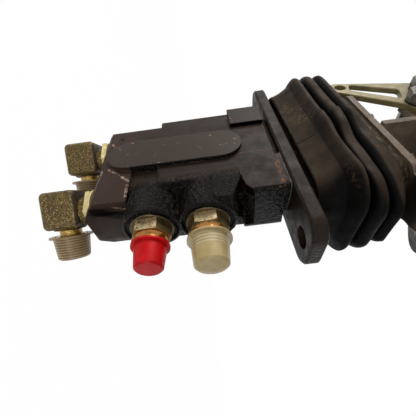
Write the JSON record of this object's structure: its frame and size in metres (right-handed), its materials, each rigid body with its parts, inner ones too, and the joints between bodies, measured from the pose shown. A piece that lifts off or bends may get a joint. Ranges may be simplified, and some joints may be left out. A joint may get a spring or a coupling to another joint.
{
  "type": "foot pedal valve",
  "caption": "Foot pedal valve: rocker pedal over a rubber boot and slotted flange, cast body with spools below, capped port fittings.",
  "frame": {"origin": "centre of the flange's seat face, midway between its two mounting holes", "axes": "+Z along the plungers towards the pedal, -Y towards the two straight port fittings, -X towards the raised pad on the body"},
  "size_m": [0.088, 0.1679, 0.3452],
  "materials": {
    "black_paint": "worn black paint on cast iron",
    "olive_zinc": "forged steel, olive zinc plating",
    "pale_zinc": "pale yellow zinc plating",
    "red_plastic": "red soft plastic",
    "clear_plastic": "milky clear plastic",
    "boot_rubber": "dusty black rubber",
    "seal_rubber": "black nitrile rubber",
    "gasket_sheet": "dark fibre sheet",
    "bare_steel": "ground or turned steel",
    "spring_steel": "oiled spring wire",
    "bronze": "sintered bronze",
    "bracket_paint": "worn dark grey-brown paint on sheet steel",
    "yellow_zinc": "yellow iridescent zinc plating",
    "bolt_steel": "dull zinc on bolts"
  },
  "bodies": {
    "valve": {"valve_body": "black_paint", "mounting_flange": "black_paint", "flange_gasket": "gasket_sheet", "flange_screws": "bolt_steel", "guide_o_rings": "seal_rubber", "plunger_wipers": "seal_rubber", "pressure_port_adapter": "olive_zinc", "tank_port_adapter": "olive_zinc", "adapter_o_rings": "seal_rubber", "red_cap": "red_plastic", "clear_cap": "clear_plastic", "elbow_locknuts": "pale_zinc", "elbow_washers": "pale_zinc", "elbow_o_rings": "seal_rubber", "front_plunger_guide": "bare_steel", "rear_plunger_guide": "bare_steel", "front_return_spring": "spring_steel", "rear_return_spring": "spring_steel", "front_metering_spring": "spring_steel", "rear_metering_spring": "spring_steel", "front_elbow": "olive_zinc", "rear_elbow": "olive_zinc", "front_elbow_cap": "clear_plastic", "rear_elbow_cap": "clear_plastic", "boot": "boot_rubber", "pivot_pin": "bare_steel", "pivot_circlips": "bare_steel"},
    "pedal": {"rocker": "bracket_paint", "rocker_bushes": "bronze", "adjusters": "bare_steel", "adjuster_locknuts": "bare_steel", "pedal_base_plate": "bracket_paint", "base_plate_screws": "bolt_steel", "bracket_front_wall": "bracket_paint", "bracket_rear_lug": "bracket_paint", "bracket_cheek": "bracket_paint", "link_arm": "yellow_zinc", "link_arm_washers": "bolt_steel", "link_arm_bolts": "bolt_steel", "link_arm_nuts": "bolt_steel", "tread_plate": "bracket_paint", "tread_rubber": "seal_rubber", "tread_screws": "bolt_steel", "tread_nuts": "bolt_steel"},
    "front_push_rod": {"front_plunger": "bare_steel", "front_spring_seat": "bare_steel"},
    "rear_push_rod": {"rear_plunger": "bare_steel", "rear_spring_seat": "bare_steel"},
    "front_spool": {"front_spool": "bare_steel"},
    "rear_spool": {"rear_spool": "bare_steel"}
  },
  "joints": [
    {"name": "pedal_tilt", "type": "hinge", "parent": "valve", "child": "pedal", "pos_m": [0, 0, 0.036], "axis": [1, 0, 0], "range_deg": [-12, 12], "stiffness_Nm_per_rad": 28, "deforming": ["boot"]},
    {"name": "front_rod_slide", "type": "slide", "parent": "valve", "child": "front_push_rod", "axis": [0, 0, 1], "range_m": [-0.0058, 0.0058], "deforming": ["front_return_spring", "front_metering_spring"]},
    {"name": "front_spool_slide", "type": "slide", "parent": "valve", "child": "front_spool", "axis": [0, 0, 1], "range_m": [-0.0012, 0.0012]},
    {"name": "rear_rod_slide", "type": "slide", "parent": "valve", "child": "rear_push_rod", "axis": [0, 0, 1], "range_m": [-0.0058, 0.0058], "deforming": ["rear_return_spring", "rear_metering_spring"]},
    {"name": "rear_spool_slide", "type": "slide", "parent": "valve", "child": "rear_spool", "axis": [0, 0, 1], "range_m": [-0.0012, 0.0012]}
  ],
  "couplings": [
    {"joint": "front_rod_slide", "follows": "pedal_tilt", "m_per_rad": -0.0274},
    {"joint": "front_spool_slide", "follows": "pedal_tilt", "m_per_rad": -0.0055},
    {"joint": "rear_rod_slide", "follows": "pedal_tilt", "m_per_rad": 0.0274},
    {"joint": "rear_spool_slide", "follows": "pedal_tilt", "m_per_rad": 0.0055}
  ]
}
